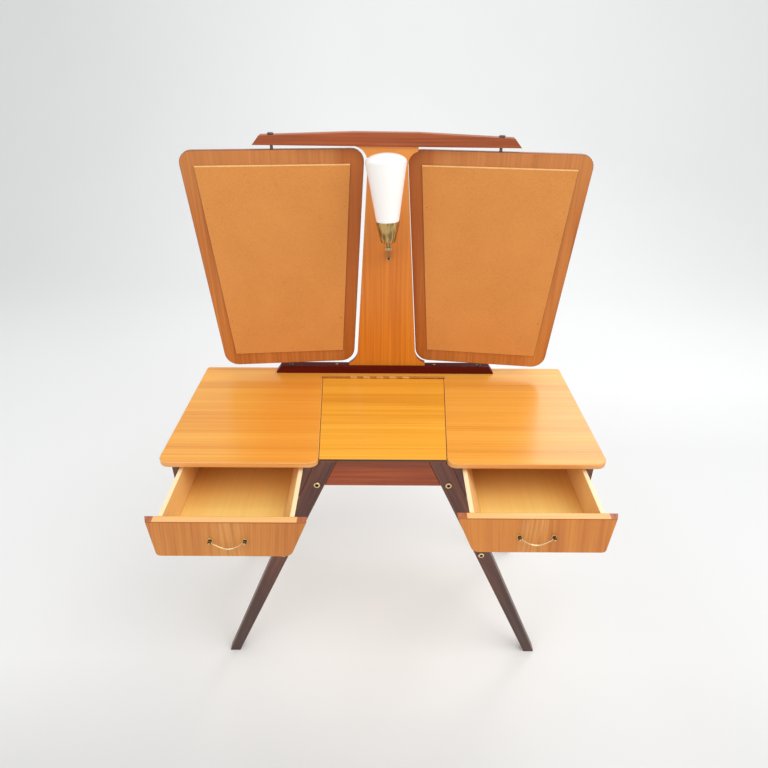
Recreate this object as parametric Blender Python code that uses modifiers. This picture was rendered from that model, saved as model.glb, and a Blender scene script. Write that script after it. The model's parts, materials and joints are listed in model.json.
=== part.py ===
"""Vanity table with two swivelling mirrors, two drawers, a lidded well and a lamp.

Metres, +Z up. The viewer stands at -Y and +X is to the viewer's right. Inside the script y = 0 is the
tabletop's front edge and z = 0 is the floor; the root empty then shifts the whole object along Y.
"""
import math

import bmesh
import bpy
from mathutils import Vector

# ---- driving dimensions -------------------------------------------------------------------------------
GAP = 0.0003                # clearance left between touching pieces

TOP_Z = 0.700               # upper face of the tabletop
TOP_THICK = 0.0135
TOP_HALF_FRONT = 0.500      # the top narrows a little towards the back
TOP_HALF_BACK = 0.4912
TOP_DEPTH = 0.417
FRONT_CORNER = 0.023
BACK_CORNER = 0.0075
WELL_CORNER = 0.021

LEG_PLANE = 0.0151          # front face of the front legs and apron, behind the top's front edge
LEG_THICK = 0.027
REAR_INSET = 0.004          # rear face of the rear legs, in front of the top's back edge
LEG_OUTER_FOOT = 0.4318     # outer edge of a leg: x = foot - slope * z
LEG_OUTER_SLOPE = 0.4046
LEG_INNER_FOOT = 0.4034
LEG_INNER_SLOPE = 0.4335

WELL_HALF_FRONT = 0.1432    # half width of the lid opening at the leg plane
WELL_SLOPE = 0.0633         # and how much it widens towards the back
LID_THICK = 0.0075
LID_GAP = 0.0011
HINGE_Y = 0.3614
HINGE_LENGTH = 0.334
HINGE_LEAF_HALF = 0.1636     # the leaves end inside the notch, the barrel runs on past it
HINGE_BARREL = 0.0024
HINGE_BORE = 0.00125
HINGE_LEAF = 0.0010
HINGE_HEIGHT = 0.0028       # barrel centre above the tabletop
KNUCKLES = 19

APRON_BOTTOM = 0.6228
APRON_THICK = 0.019
WELL_FLOOR_Z = 0.6240
WELL_FLOOR_THICK = 0.005

RAIL_BOLT = (0.1510, 0.6245)  # x and z of the upper and the lower bolts
STRETCHER_BOLT = (0.2470, 0.3952)
RAIL_SIZE = (0.025, 0.027)
RAIL_INSET = 0.0110         # from a rail's inner face to its bolt
STRETCHER_INSET = 0.0083
BOLT_SHANK = 0.0030
BOLT_HEAD = 0.0075
BOLT_HEAD_THICK = 0.0030
BOLT_SOCKET = 0.0024
BOLT_REACH = 0.030          # how far a bolt goes into a rail

CASE_BOTTOM = 0.5875
CASE_INNER_THICK = 0.0172
CASE_OUTER_X = (0.4597, 0.4748)
CASE_BACK_THICK = 0.006
CASE_FLOOR_THICK = 0.005

FRONT_TOP = 0.6765          # drawer front
FRONT_BOTTOM = 0.5789
FRONT_THICK = 0.0175
FRONT_INNER = (0.1525, 0.1911)  # x of the inner edge at the top and at the bottom
FRONT_OUTER = (0.4800, 0.4750)
FRONT_INNER_CORNER = 0.021
FRONT_OUTER_CORNER = 0.0085
FRONT_SPLAY = 0.40          # its outer end is cut aslant, wider at the back
BOX_INNER_X = 0.1784        # outer face of the slanted drawer side, at the top
BOX_INNER_THICK = 0.0097
BOX_OUTER_X = (0.4470, 0.4563)
BOX_BOTTOM = 0.5931
BOX_LENGTH = 0.362
BOX_BACK_THICK = 0.009
BOX_FLOOR_Z = 0.5981
BOX_FLOOR_THICK = 0.004
PULLED_OUT = {"left": 0.1543, "right": 0.1400}

HANDLE_X = {-1: 0.3168, 1: 0.3195}
HANDLE_Z = 0.6265
HANDLE_SPAN = 0.0720        # between the posts' centres
POST_RADIUS = 0.0042
POST_REACH = 0.0115
BAIL_WIRE = 0.0017
BAIL_OUT = 0.0078           # the bail's hinge line in front of the drawer front
BAIL_DROP = 0.0170

FRAME_X = 0.004             # the mirror frame is screwed on a little right of the middle
RAIL_Y = (0.3853, 0.4063)   # upper mirror rail: front and back faces
LOWER_RAIL_Y = (0.3853, 0.4108)
LOWER_RAIL_TOP = 0.7218
LOWER_RAIL_HALF = (0.2990, 0.2846)  # at the bottom and at the top
TOP_RAIL_BOTTOM = 1.2922
TOP_RAIL_HALF = (0.3005, 0.2830)
TOP_RAIL_END = 1.3125       # height of its ends and of its flat middle
TOP_RAIL_CROWN = 1.3210
TOP_RAIL_FLAT = 0.073
TOP_RAIL_EXTRA = 0.0030     # it reaches a little further on the right
TOP_RAIL_FALL = 0.0067      # and falls to the right by this much in every metre
BOARD_Y = (0.3920, 0.4055)
BOARD_GAP = {-1: (0.0088, 0.0085), 1: (0.0016, 0.0006)}  # to each mirror, at its lower and upper corner
BOARD_FOOT = {-1: math.radians(62), 1: math.radians(75)}
BOARD_HEAD = {-1: math.radians(78), 1: math.radians(78)}

PIVOT_X = 0.2581
PIVOT_Y = 0.3958
PIVOT_RADIUS = 0.0035
KNOB_RADIUS = 0.0071
KNOB_THICK = 0.0030
MIRROR_BOTTOM = 0.7314
MIRROR_TOP = {-1: 1.2822, 1: 1.2792}
MIRROR_FLARE_Z = 1.2802
MIRROR_INNER = (0.1730, 0.2095)  # from the swivel axis to each side, at the bottom and at that height
MIRROR_OUTER = (0.1705, 0.2095)
MIRROR_THICK = 0.0135
MIRROR_CORNER = (0.036, 0.028)
GLASS_THICK = 0.0030
GLASS_INSET = 0.0145
BACKING_THICK = 0.0025
BACKING_INSET = (0.0345, 0.0312, 0.0322)  # at the bottom, at the sides and at the top
MIRROR_TURN = {"left": math.radians(5.05), "right": math.radians(6.88)}

LAMP_X = 0.0104
LAMP_PIVOT = (0.3270, 1.0751)  # y and z of the lamp's tilting axis
LAMP_LEAN = math.radians(-5.0)  # it leans back, until its rim is almost on the board
LAMP_ROLL = math.radians(-2.0)
LAMP_ARM = 0.0048           # half the width of the bracket
LAMP_CHEEK = 0.0012
LAMP_EYE = 0.0052
CUP_RANGE = (0.0150, 0.0640)  # along the lamp's own axis, from the pivot
CUP_RIM = 0.0275
SHADE_TOP = 0.1920          # where the cone ends and the dome begins
SHADE_DOME = 0.0190
SHADE_RADIUS = (0.0262, 0.0462)
SHADE_WALL = 0.0025
CUP_WALL = 0.0012
LAMP_PIN = 0.0020

ORIGIN_Y = 0.1300           # the object's box is centred on the origin


# ---- materials ----------------------------------------------------------------------------------------
def make_material(name, colour, roughness, metallic=0.0):
    mat = bpy.data.materials.new(name)
    mat.use_nodes = True
    shader = mat.node_tree.nodes["Principled BSDF"]
    shader.inputs["Base Color"].default_value = (*colour, 1.0)
    shader.inputs["Roughness"].default_value = roughness
    shader.inputs["Metallic"].default_value = metallic
    return mat


LOOKS = {
    "teak": ((0.62, 0.30, 0.09), 0.42, 0.0),
    "teak_dark": ((0.45, 0.19, 0.07), 0.45, 0.0),
    "mahogany": ((0.16, 0.05, 0.03), 0.40, 0.0),
    "birch": ((0.80, 0.60, 0.33), 0.55, 0.0),
    "hardboard": ((0.58, 0.32, 0.13), 0.75, 0.0),
    "brass": ((0.74, 0.56, 0.25), 0.30, 1.0),
    "dark_brass": ((0.12, 0.09, 0.06), 0.45, 0.8),
    "steel": ((0.30, 0.28, 0.27), 0.40, 0.9),
    "mirror": ((0.90, 0.92, 0.92), 0.03, 1.0),
    "opal_glass": ((0.90, 0.90, 0.88), 0.25, 0.0),
}


# ---- building helpers ---------------------------------------------------------------------------------
def clear_scene():
    for obj in list(bpy.data.objects):
        bpy.data.objects.remove(obj, do_unlink=True)


def empty(name, location, parent=None, rotation=(0.0, 0.0, 0.0)):
    obj = bpy.data.objects.new(name, None)
    obj.location = location
    obj.rotation_euler = rotation
    obj.parent = parent
    OBJECTS.objects.link(obj)
    return obj


def finish(obj, name, look, parent):
    """Names a piece, gives it its own material and hangs it on its parent."""
    obj.name = name
    obj.data.name = name
    obj.data.materials.clear()
    obj.data.materials.append(make_material(name + "_" + look, *LOOKS[look]))
    obj.parent = parent
    if obj.name not in OBJECTS.objects:
        OBJECTS.objects.link(obj)
    return obj


PLANES = {                  # rotation that lays a flat outline (u, v) in the named plane
    "xy": (0.0, 0.0, 0.0),
    "xz": (math.pi / 2, 0.0, 0.0),
    "yz": (math.pi / 2, 0.0, math.pi / 2),
}
AXES = {"x": (0.0, math.pi / 2, 0.0), "y": (math.pi / 2, 0.0, 0.0), "z": (0.0, 0.0, 0.0)}


def slab(name, look, parent, plane, outlines, low, high):
    """A flat outline, with holes if it has more than one loop, filling low..high across its plane."""
    curve = bpy.data.curves.new(name, "CURVE")
    curve.dimensions = "2D"
    curve.fill_mode = "BOTH"
    curve.extrude = (high - low) / 2
    for outline in outlines:
        spline = curve.splines.new("POLY")
        spline.points.add(len(outline) - 1)
        spline.use_cyclic_u = True
        for point, (u, v) in zip(spline.points, outline):
            point.co = (u, v, 0.0, 1.0)
    obj = bpy.data.objects.new(name, curve)
    obj.rotation_euler = PLANES[plane]
    middle = (low + high) / 2
    obj.location = {"xy": (0, 0, middle), "xz": (0, middle, 0), "yz": (middle, 0, 0)}[plane]
    return finish(obj, name, look, parent)


def box(name, look, parent, x, y, z):
    """A rectangular board between the given limits."""
    outline = [(x[0], y[0]), (x[1], y[0]), (x[1], y[1]), (x[0], y[1])]
    return slab(name, look, parent, "xy", [outline], z[0], z[1])


def rod_mesh(name, radius, length, axis, centre, sides=12, tip=None):
    """A closed cylinder, or a cone if tip gives the radius of its far end."""
    mesh = bpy.data.meshes.new(name)
    bm = bmesh.new()
    bmesh.ops.create_cone(bm, cap_ends=True, segments=sides, radius1=radius,
                          radius2=radius if tip is None else tip, depth=length)
    bm.to_mesh(mesh)
    bm.free()
    obj = bpy.data.objects.new(name, mesh)
    obj.rotation_euler = AXES[axis]
    obj.location = centre
    return obj


def rod(name, look, parent, radius, length, axis, centre, sides=12):
    return finish(rod_mesh(name, radius, length, axis, centre, sides), name, look, parent)


def turned(name, look, parent, profile, steps=24, location=(0, 0, 0), rotation=(0, 0, 0)):
    """A solid of revolution about its local Z; the profile runs down its outer side."""
    mesh = bpy.data.meshes.new(name)
    closed = profile[0][0] > 0
    edges = [(i, i + 1) for i in range(len(profile) - 1)]
    if closed:
        edges.append((len(profile) - 1, 0))
    mesh.from_pydata([(r, 0.0, z) for r, z in profile], edges, [])
    obj = bpy.data.objects.new(name, mesh)
    screw = obj.modifiers.new("Screw", "SCREW")
    screw.steps = steps
    screw.render_steps = steps
    screw.use_merge_vertices = True
    screw.merge_threshold = 0.00005
    obj.location = location
    obj.rotation_euler = rotation
    return finish(obj, name, look, parent)


def wire(name, look, parent, points, radius, location=(0, 0, 0)):
    curve = bpy.data.curves.new(name, "CURVE")
    curve.dimensions = "3D"
    curve.bevel_depth = radius
    curve.bevel_resolution = 2
    curve.use_fill_caps = True
    spline = curve.splines.new("POLY")
    spline.points.add(len(points) - 1)
    for point, co in zip(spline.points, points):
        point.co = (*co, 1.0)
    obj = bpy.data.objects.new(name, curve)
    obj.location = location
    return finish(obj, name, look, parent)


def as_mesh(obj):
    """Replaces a curve or modified object by its evaluated mesh, with its seams welded."""
    bpy.context.view_layer.update()
    evaluated = obj.evaluated_get(bpy.context.evaluated_depsgraph_get())
    mesh = bpy.data.meshes.new_from_object(evaluated)
    bm = bmesh.new()
    bm.from_mesh(mesh)
    bmesh.ops.remove_doubles(bm, verts=bm.verts, dist=0.00001)
    bmesh.ops.recalc_face_normals(bm, faces=bm.faces)
    bm.to_mesh(mesh)
    bm.free()
    name = obj.name
    fresh = bpy.data.objects.new(name, mesh)
    fresh.location = obj.location
    fresh.rotation_euler = obj.rotation_euler
    fresh.parent = obj.parent
    bpy.data.objects.remove(obj, do_unlink=True)
    fresh.name = name
    OBJECTS.objects.link(fresh)
    return fresh


def join_meshes(name, pieces):
    """Gathers placed mesh objects into one object of separate bodies."""
    bm = bmesh.new()
    for piece in pieces:
        part = piece.data.copy()
        part.transform(piece.matrix_basis)
        bm.from_mesh(part)
        bpy.data.objects.remove(piece, do_unlink=True)
    mesh = bpy.data.meshes.new(name)
    bm.to_mesh(mesh)
    bm.free()
    return bpy.data.objects.new(name, mesh)


def boolean(obj, cutter, operation="DIFFERENCE"):
    """Cuts, or joins, with a helper object that stays out of the build."""
    cutter.hide_render = True
    cutter.display_type = "WIRE"
    cutter.parent = obj.parent
    CUTTERS.objects.link(cutter)
    modifier = obj.modifiers.new(operation.title(), "BOOLEAN")
    modifier.operation = operation
    modifier.solver = "EXACT"
    modifier.object = cutter


def rounded(corners, steps=5):
    """Closed outline whose corners (x, y, radius) are rounded by short arcs."""
    points = []
    count = len(corners)
    for i, (x, y, radius) in enumerate(corners):
        if radius == 0:
            points.append((x, y))
            continue
        here = Vector((x, y))
        before = (Vector(corners[i - 1][:2]) - here).normalized()
        after = (Vector(corners[(i + 1) % count][:2]) - here).normalized()
        half = before.angle(after) / 2
        centre = here + (before + after).normalized() * (radius / math.sin(half))
        start = here + before * (radius / math.tan(half)) - centre
        end = here + after * (radius / math.tan(half)) - centre
        sweep = start.angle_signed(end)
        for k in range(steps + 1):
            turn = -sweep * k / steps
            spoke = Vector((start.x * math.cos(turn) - start.y * math.sin(turn),
                            start.x * math.sin(turn) + start.y * math.cos(turn)))
            points.append(tuple(centre + spoke))
    return points


def circle(centre, radius, sides=12, start=0.0):
    return [(centre[0] + radius * math.cos(start + 2 * math.pi * k / sides),
             centre[1] + radius * math.sin(start + 2 * math.pi * k / sides)) for k in range(sides)]


def mirrored(points, side):
    """The outline as drawn for the right-hand side, or its mirror image for the left."""
    return [(side * u, v) for u, v in points]


def span(side, a, b):
    """An x range for one side, in rising order."""
    return (min(side * a, side * b), max(side * a, side * b))


def leg_outer(z):
    return LEG_OUTER_FOOT - LEG_OUTER_SLOPE * z


def leg_inner(z):
    return LEG_INNER_FOOT - LEG_INNER_SLOPE * z


def well_half(y):
    return WELL_HALF_FRONT + WELL_SLOPE * (y - LEG_PLANE)


SIDES = (("left", -1), ("right", 1))
TOP_UNDER = TOP_Z - TOP_THICK
LID_UNDER = TOP_Z - LID_THICK
REAR_PLANE = TOP_DEPTH - REAR_INSET
FRAME_Y = (LEG_PLANE + LEG_THICK + GAP, REAR_PLANE - LEG_THICK - GAP)


# ---- the top, the lid and its hinge -------------------------------------------------------------------
def build_tabletop(root):
    notch_back = HINGE_Y + 0.0023 + GAP
    outline = rounded([
        (-TOP_HALF_FRONT, 0.0, FRONT_CORNER),
        (-well_half(0.0), 0.0, WELL_CORNER),
        (-well_half(notch_back), notch_back, 0),
        (well_half(notch_back), notch_back, 0),
        (well_half(0.0), 0.0, WELL_CORNER),
        (TOP_HALF_FRONT, 0.0, FRONT_CORNER),
        (TOP_HALF_BACK, TOP_DEPTH, BACK_CORNER),
        (-TOP_HALF_BACK, TOP_DEPTH, BACK_CORNER),
    ])
    slab("tabletop", "teak", root, "xy", [outline], TOP_UNDER, TOP_Z)


def build_lid(hinge):
    """Local to the hinge axis, which runs along X through the barrel."""
    back = -0.0023 - GAP
    front = LEG_PLANE - HINGE_Y
    half_back = well_half(HINGE_Y + back) - LID_GAP
    half_front = well_half(LEG_PLANE) - LID_GAP
    outline = [(-half_front, front), (half_front, front), (half_back, back), (-half_back, back)]
    top = -HINGE_HEIGHT
    slab("lid", "teak", hinge, "xy", [outline], top - LID_THICK, top)


def leaf_outline(side):
    """A leaf hanging from its barrel, drawn in Y and Z about the barrel's centre; side +1 is the back."""
    low = -0.0120
    inner = HINGE_BORE + 0.00005
    outer = inner + HINGE_LEAF
    start = -math.acos(outer / HINGE_BARREL)
    stop = 2 * math.pi - math.acos(inner / HINGE_BARREL)
    steps = 12
    arc = [(HINGE_BARREL * math.cos(start + (stop - start) * k / steps),
            HINGE_BARREL * math.sin(start + (stop - start) * k / steps)) for k in range(steps + 1)]
    return [(side * u, v) for u, v in [(inner, low), (outer, low), *arc]]


def build_hinge(root, hinge):
    """A piano hinge: the leaves share the knuckles in turn; the pin is fast in the fixed leaf."""
    pitch = HINGE_LENGTH / KNUCKLES
    centre = (HINGE_Y, TOP_Z + HINGE_HEIGHT)
    for name, parent, side, first in (("hinge_fixed_leaf", root, 1, 1), ("hinge_moving_leaf", hinge, -1, 0)):
        offset = centre if parent is root else (0.0, 0.0)
        loops = [leaf_outline(side), circle((0, 0), HINGE_BORE, 10)]
        placed = [[(u + offset[0], v + offset[1]) for u, v in loop] for loop in loops]
        if parent is root:
            placed.pop()
        reach = HINGE_LENGTH / 2 if parent is root else HINGE_LEAF_HALF
        leaf = as_mesh(slab(name, "brass", parent, "yz", placed, -reach, reach))
        slots = []
        for k in range(first, KNUCKLES, 2):
            middle = -HINGE_LENGTH / 2 + pitch * (k + 0.5)
            slots.append(rod_mesh("slot", 0.0040, pitch + 2 * GAP, "x", (middle, *offset), 4))
        if parent is root:
            for end in (-1, 1):
                trim = as_mesh(box("trim", "brass", root, span(end, HINGE_LEAF_HALF, HINGE_LENGTH),
                                   (HINGE_Y - 0.005, HINGE_Y + 0.005), (TOP_Z - 0.012, TOP_Z + 0.0003)))
                OBJECTS.objects.unlink(trim)
                slots.append(trim)
        boolean(leaf, join_meshes(name + "_slots", slots))
        if parent is root:
            pin = rod_mesh("hinge_pin", HINGE_BORE - GAP, HINGE_LENGTH - 0.001, "x", (0.0, *centre), 10)
            boolean(leaf, pin, "UNION")


# ---- the base frame -----------------------------------------------------------------------------------
def bolt_bores(y, side):
    """Cutters for the two bolts of one leg."""
    return [rod_mesh("bore", BOLT_SHANK + GAP, 0.090, "y", (side * x, y, z))
            for x, z in (RAIL_BOLT, STRETCHER_BOLT)]


def build_legs(root):
    step_x = well_half(LEG_PLANE) - LID_GAP
    high = LID_UNDER - GAP
    under = TOP_UNDER - GAP
    front = [(leg_inner(0.0), 0.0), (leg_outer(0.0), 0.0), (leg_outer(under), under),
             (step_x, under), (step_x, high), (leg_inner(high), high)]
    rear = [(leg_inner(0.0), 0.0), (leg_outer(0.0), 0.0), (leg_outer(under), under),
            (leg_inner(under), under)]
    for label, side in SIDES:
        for row, outline, y in (("front", front, LEG_PLANE), ("rear", rear, REAR_PLANE - LEG_THICK)):
            name = f"{row}_leg_{label}"
            leg = as_mesh(slab(name, "mahogany", root, "xz", [mirrored(outline, side)], y, y + LEG_THICK))
            boolean(leg, join_meshes(name + "_bores", bolt_bores(y + LEG_THICK / 2, side)))


def build_aprons(root):
    for name, y, top in (("front_apron", LEG_PLANE, LID_UNDER - GAP),
                         ("rear_apron", REAR_PLANE - APRON_THICK, TOP_UNDER - GAP)):
        low = leg_inner(APRON_BOTTOM) - GAP
        high = leg_inner(top) - GAP
        outline = [(-low, APRON_BOTTOM), (low, APRON_BOTTOM), (high, top), (-high, top)]
        slab(name, "mahogany", root, "xz", [outline], y, y + APRON_THICK)
    wide = RAIL_BOLT[0] - RAIL_INSET - GAP
    narrow = leg_inner(WELL_FLOOR_Z + WELL_FLOOR_THICK) - GAP
    ends = (LEG_PLANE + APRON_THICK + GAP, REAR_PLANE - APRON_THICK - GAP)
    right = [(narrow, ends[0]), (narrow, FRAME_Y[0]), (wide, FRAME_Y[0]), (wide, FRAME_Y[1]),
             (narrow, FRAME_Y[1]), (narrow, ends[1])]
    outline = right + [(-x, y) for x, y in reversed(right)]
    slab("well_bottom", "birch", root, "xy", [outline], WELL_FLOOR_Z, WELL_FLOOR_Z + WELL_FLOOR_THICK)


def build_side_rails(root):
    """Rails between the front and the rear legs, bored at both ends for the bolts."""
    width, height = RAIL_SIZE
    for label, side in SIDES:
        for kind, (x, z), inset in (("upper_side_rail", RAIL_BOLT, RAIL_INSET),
                                   ("lower_stretcher", STRETCHER_BOLT, STRETCHER_INSET)):
            name = f"{kind}_{label}"
            rail = box(name, "mahogany", root, span(side, x - inset, x - inset + width), FRAME_Y,
                       (z - height / 2 - 0.001, z + height / 2 - 0.001))
            rail = as_mesh(rail)
            bores = [rod_mesh("bore", BOLT_SHANK + GAP, 2 * (BOLT_REACH + 0.002), "y", (side * x, y, z))
                     for y in FRAME_Y]
            boolean(rail, join_meshes(name + "_bores", bores))


def build_bolts(root):
    """Cap bolts with an open socket, through the front legs into the rails behind them."""
    foot = -BOLT_HEAD_THICK - LEG_THICK - BOLT_REACH
    floor = -BOLT_HEAD_THICK + 0.0004
    profile = [(0.0, floor), (BOLT_SOCKET, floor), (BOLT_SOCKET, 0.0), (BOLT_HEAD - 0.0008, 0.0),
               (BOLT_HEAD, -0.0008), (BOLT_HEAD, -BOLT_HEAD_THICK), (BOLT_SHANK, -BOLT_HEAD_THICK),
               (BOLT_SHANK, foot), (0.0, foot)]
    for label, side in SIDES:
        for row, (x, z) in (("upper", RAIL_BOLT), ("lower", STRETCHER_BOLT)):
            turned(f"{row}_bolt_{label}", "brass", root, profile, 14,
                   (side * x, LEG_PLANE - GAP - BOLT_HEAD_THICK, z), AXES["y"])


# ---- drawer cases and drawers -------------------------------------------------------------------------
def case_inner_face(z):
    """Inside face of the slanted case side, next to the drawer."""
    return leg_outer(z) + GAP + CASE_INNER_THICK


def build_cases(root):
    top = TOP_UNDER - GAP
    depth = (LEG_PLANE, REAR_PLANE)
    floor_top = CASE_BOTTOM + CASE_FLOOR_THICK
    back_y = (REAR_PLANE - CASE_BACK_THICK, REAR_PLANE)
    for label, side in SIDES:
        slanted = [(leg_outer(CASE_BOTTOM) + GAP, CASE_BOTTOM), (case_inner_face(CASE_BOTTOM), CASE_BOTTOM),
                   (case_inner_face(top), top), (leg_outer(top) + GAP, top)]
        slab(f"case_inner_side_{label}", "mahogany", root, "xz", [mirrored(slanted, side)], *depth)
        box(f"case_outer_side_{label}", "mahogany", root, span(side, *CASE_OUTER_X), depth,
            (CASE_BOTTOM, top))
        outer = CASE_OUTER_X[0] - GAP
        floor = [(case_inner_face(CASE_BOTTOM) + GAP, CASE_BOTTOM), (outer, CASE_BOTTOM), (outer, floor_top),
                 (case_inner_face(floor_top) + GAP, floor_top)]
        slab(f"case_bottom_{label}", "birch", root, "xz", [mirrored(floor, side)], depth[0], depth[1])
        low = floor_top + GAP
        back = [(case_inner_face(low) + GAP, low), (outer, low), (outer, top),
                (case_inner_face(top) + GAP, top)]
        slab(f"case_back_{label}", "birch", root, "xz", [mirrored(back, side)], *back_y)


def box_side(z):
    """Outer face of the drawer's slanted side."""
    return BOX_INNER_X + LEG_OUTER_SLOPE * (FRONT_TOP - z)


def inside_x(z):
    """Where the boards between the drawer's sides start, next to the slanted one."""
    return box_side(z) + BOX_INNER_THICK + GAP


def build_drawer(label, side, drawer):
    """Local to the drawer's empty, at the back face of its front."""
    front = rounded([
        (FRONT_INNER[1], FRONT_BOTTOM, FRONT_INNER_CORNER),
        (FRONT_OUTER[1], FRONT_BOTTOM, FRONT_OUTER_CORNER),
        (FRONT_OUTER[0], FRONT_TOP, 0),
        (FRONT_INNER[0], FRONT_TOP, 0),
    ])
    board = as_mesh(slab(f"drawer_front_{label}", "teak", drawer, "xz", [mirrored(front, side)], -FRONT_THICK,
                         -GAP))
    turn = board.rotation_euler.to_matrix()
    for vertex in board.data.vertices:
        place = turn @ vertex.co + board.location
        if side * place.x > BOX_OUTER_X[1]:
            place.x += side * FRONT_SPLAY * (place.y + FRONT_THICK / 2)
            vertex.co = turn.inverted() @ (place - board.location)
    inner = [(box_side(BOX_BOTTOM), BOX_BOTTOM), (box_side(BOX_BOTTOM) + BOX_INNER_THICK, BOX_BOTTOM),
             (BOX_INNER_X + BOX_INNER_THICK, FRONT_TOP), (BOX_INNER_X, FRONT_TOP)]
    slab(f"drawer_inner_side_{label}", "birch", drawer, "xz", [mirrored(inner, side)], 0.0, BOX_LENGTH)
    box(f"drawer_outer_side_{label}", "birch", drawer, span(side, *BOX_OUTER_X), (0.0, BOX_LENGTH),
        (BOX_BOTTOM, FRONT_TOP))
    right = BOX_OUTER_X[0] - GAP
    floor_top = BOX_FLOOR_Z + BOX_FLOOR_THICK
    floor = [(inside_x(BOX_FLOOR_Z), BOX_FLOOR_Z), (right, BOX_FLOOR_Z), (right, floor_top),
             (inside_x(floor_top), floor_top)]
    inside_back = BOX_LENGTH - BOX_BACK_THICK
    slab(f"drawer_bottom_{label}", "birch", drawer, "xz", [mirrored(floor, side)], 0.0, inside_back - GAP)
    back = [(inside_x(BOX_BOTTOM), BOX_BOTTOM), (right, BOX_BOTTOM), (right, FRONT_TOP),
            (inside_x(FRONT_TOP), FRONT_TOP)]
    slab(f"drawer_back_{label}", "birch", drawer, "xz", [mirrored(back, side)], inside_back, BOX_LENGTH)


def build_handle(label, side, drawer):
    """Two drilled posts, and a thin bail whose ends turn in them."""
    face = -FRONT_THICK - GAP
    axis_y = face - BAIL_OUT
    for place, end in (("inner", -side), ("outer", side)):
        x = side * HANDLE_X[side] + end * HANDLE_SPAN / 2
        post = rod_mesh("post", POST_RADIUS, POST_REACH, "y", (x, face - POST_REACH / 2, HANDLE_Z), 14)
        post = finish(post, f"handle_post_{label}_{place}", "dark_brass", drawer)
        boolean(post, rod_mesh(post.name + "_bore", BAIL_WIRE + GAP, 0.020, "x", (x, axis_y, HANDLE_Z), 10))
    hinge = empty(f"bail_axis_{label}", (side * HANDLE_X[side], axis_y, HANDLE_Z), drawer)
    half = HANDLE_SPAN / 2
    bow = [(-half - 0.001, 0.0, 0.0), (-half + POST_RADIUS + 0.001, 0.0, 0.0)]
    reach = half - POST_RADIUS - 0.003
    steps = 14
    for k in range(steps + 1):
        t = -1 + 2 * k / steps
        bow.append((reach * t, 0.0, -0.0035 - (BAIL_DROP - 0.0035) * math.cos(t * math.pi / 2)))
    bow += [(half - POST_RADIUS - 0.001, 0.0, 0.0), (half + 0.001, 0.0, 0.0)]
    wire(f"bail_{label}", "brass", hinge, bow, BAIL_WIRE)


# ---- the mirror frame ---------------------------------------------------------------------------------
def mirror_reach(z, reach):
    """How far a mirror reaches from its swivel axis at a height, to its inner or its outer side."""
    low, high = reach
    return low + (high - low) * (z - MIRROR_BOTTOM) / (MIRROR_FLARE_Z - MIRROR_BOTTOM)


def rail_fall(x):
    return TOP_RAIL_FALL * (x + TOP_RAIL_HALF[0])


def build_rails(frame):
    low, high = LOWER_RAIL_HALF
    bottom = TOP_Z + GAP
    outline = [(-low, bottom), (low, bottom), (high, LOWER_RAIL_TOP), (-high, LOWER_RAIL_TOP)]
    lower = slab("lower_rail", "mahogany", frame, "xz", [outline], *LOWER_RAIL_Y)
    low, high = TOP_RAIL_HALF
    outline = [(-low, TOP_RAIL_BOTTOM), (low + TOP_RAIL_EXTRA, TOP_RAIL_BOTTOM),
               (high + TOP_RAIL_EXTRA, TOP_RAIL_END), (TOP_RAIL_FLAT, TOP_RAIL_CROWN),
               (-TOP_RAIL_FLAT, TOP_RAIL_CROWN), (-high, TOP_RAIL_END)]
    outline = [(x, z - rail_fall(x)) for x, z in outline]
    upper = slab("top_rail", "mahogany", frame, "xz", [outline], *RAIL_Y)
    for name, rail, z in (("lower_rail", lower, LOWER_RAIL_TOP), ("top_rail", upper, TOP_RAIL_BOTTOM)):
        rail = as_mesh(rail)
        length = 0.024 if rail.name == "lower_rail" else 0.080
        bores = [rod_mesh("bore", PIVOT_RADIUS + GAP, length, "z", (side * PIVOT_X, PIVOT_Y, z))
                 for _, side in SIDES]
        boolean(rail, join_meshes(name + "_bores", bores))


def board_edge(side):
    """One edge of the centre board, upwards: parallel to its mirror, and flared round its corners."""
    low_radius, high_radius = MIRROR_CORNER
    low_gap, high_gap = BOARD_GAP[side]
    low_z = MIRROR_BOTTOM + low_radius
    high_z = MIRROR_TOP[side] - high_radius
    low_centre = PIVOT_X - mirror_reach(low_z, MIRROR_INNER) + low_radius
    high_centre = PIVOT_X - mirror_reach(high_z, MIRROR_INNER) + high_radius
    edge = []
    steps = 6
    for k in range(steps + 1):
        turn = BOARD_FOOT[side] * (1 - k / steps)
        edge.append((low_centre - (low_radius + low_gap) * math.cos(turn),
                     low_z - (low_radius + low_gap) * math.sin(turn)))
    for k in range(steps + 1):
        turn = BOARD_HEAD[side] * k / steps
        edge.append((high_centre - (high_radius + high_gap) * math.cos(turn),
                     high_z + (high_radius + high_gap) * math.sin(turn)))
    head_x = edge[-1][0]
    head_z = TOP_RAIL_BOTTOM - rail_fall(side * head_x) - GAP
    ends = [(edge[0][0], LOWER_RAIL_TOP + GAP), *edge, (head_x, head_z)]
    return [(side * x, z) for x, z in ends]


def build_centre_board(frame):
    outline = board_edge(1) + board_edge(-1)[::-1]
    slab("centre_board", "teak", frame, "xz", [outline], *BOARD_Y)


def mirror_outline(side, inset, radii, steps):
    """The mirror's outline drawn smaller by inset (bottom, sides, top), with rounded corners."""
    low = MIRROR_BOTTOM + inset[0]
    high = MIRROR_TOP[side] - inset[2]
    corners = [(-mirror_reach(low, MIRROR_INNER) + inset[1], low, radii[0]),
               (mirror_reach(low, MIRROR_OUTER) - inset[1], low, radii[0]),
               (mirror_reach(high, MIRROR_OUTER) - inset[1], high, radii[1]),
               (-mirror_reach(high, MIRROR_INNER) + inset[1], high, radii[1])]
    return mirrored(rounded(corners, steps), side)


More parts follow.
